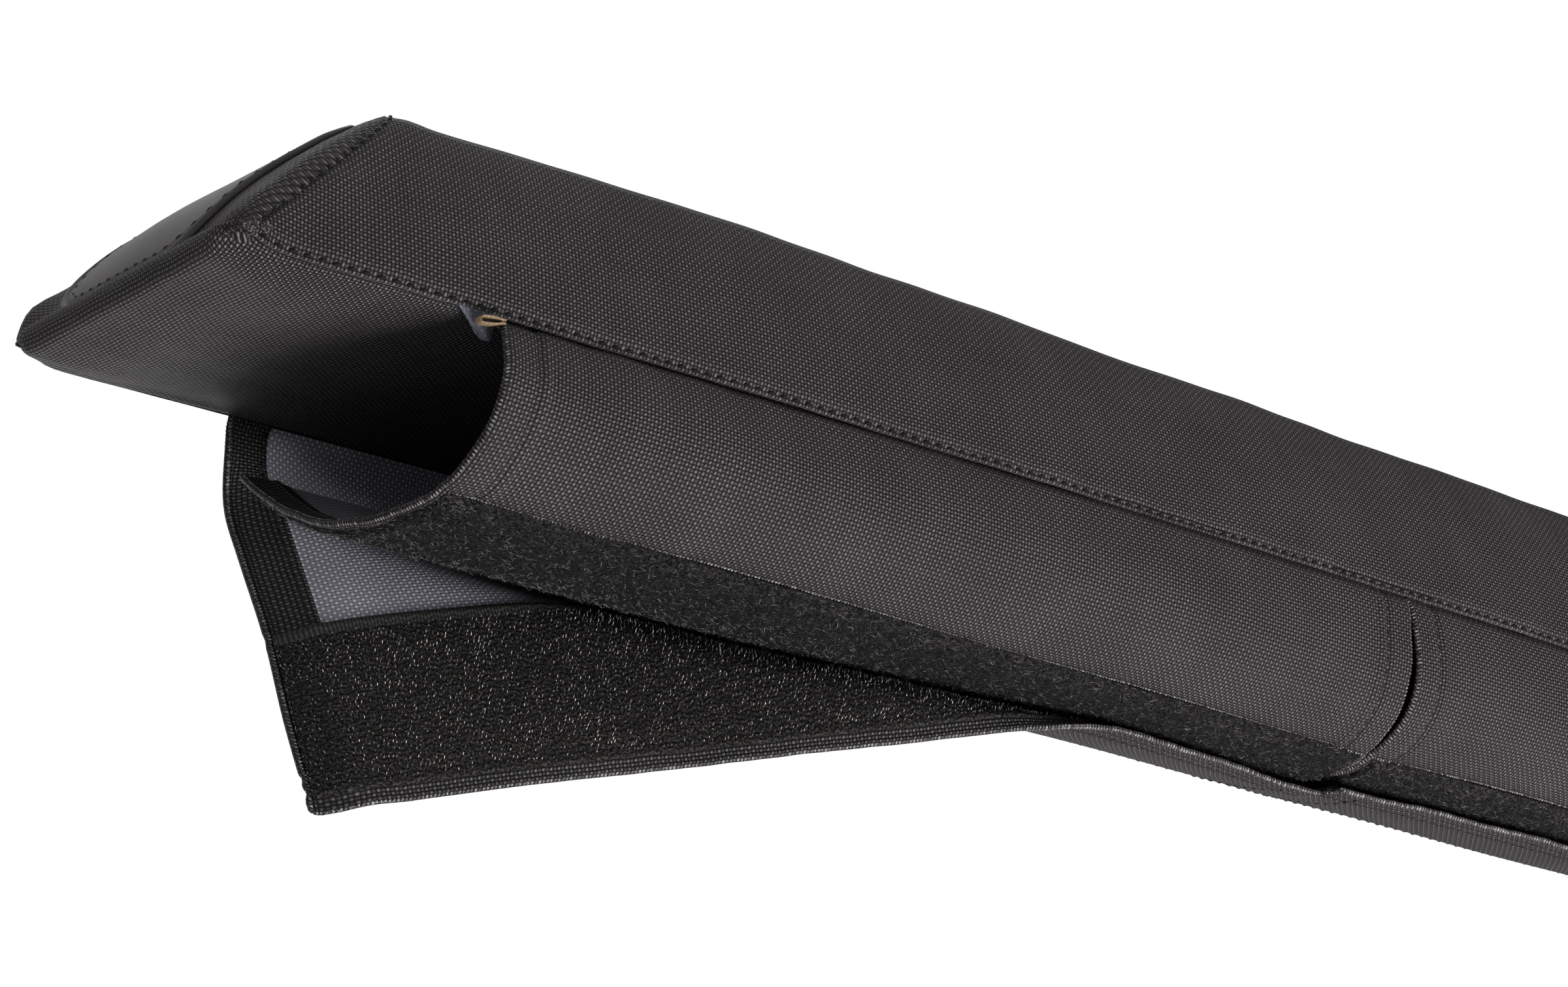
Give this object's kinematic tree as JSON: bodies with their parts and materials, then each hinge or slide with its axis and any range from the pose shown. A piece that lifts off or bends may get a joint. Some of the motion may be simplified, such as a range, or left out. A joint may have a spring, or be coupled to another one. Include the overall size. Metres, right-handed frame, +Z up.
{
  "type": "roof rack pad",
  "caption": "Long foam pad in woven cover with bevelled ends, over a sleeve of two hook-and-loop flaps that closes round a flat roof bar.",
  "frame": {"origin": "middle of the pad's flat underside, where it sits on the bar", "axes": "+X along the bar and the pad, +Z up to the load, -Y towards the side of the near flap"},
  "size_m": [0.7634, 0.1358, 0.1654],
  "materials": {
    "cover_fabric": "black plain-weave polyester, matt",
    "foam": "closed-cell foam",
    "rubber_patch": "smooth dark rubber sheet, satin",
    "loop_pile": "black brushed loop pile",
    "hook_pile": "black nylon hook tape",
    "coated_lining": "grey coated back of the woven fabric, semi-matt",
    "binding_tape": "tan woven tape"
  },
  "bodies": {
    "root": {"foam_core": "foam", "cover_wrap": "cover_fabric", "base_panel": "cover_fabric", "end_panel_left": "cover_fabric", "end_patch_left": "rubber_patch", "near_flap_left": "cover_fabric", "loop_strip_left": "loop_pile", "far_flap_left": "cover_fabric", "hook_strip_left": "hook_pile", "seam_tab_left": "coated_lining", "seam_tape_left": "binding_tape", "end_panel_right": "cover_fabric", "end_patch_right": "rubber_patch", "near_flap_right": "cover_fabric", "loop_strip_right": "loop_pile", "far_flap_right": "cover_fabric", "hook_strip_right": "hook_pile", "seam_tab_right": "coated_lining", "seam_tape_right": "binding_tape"}
  },
  "joints": []
}
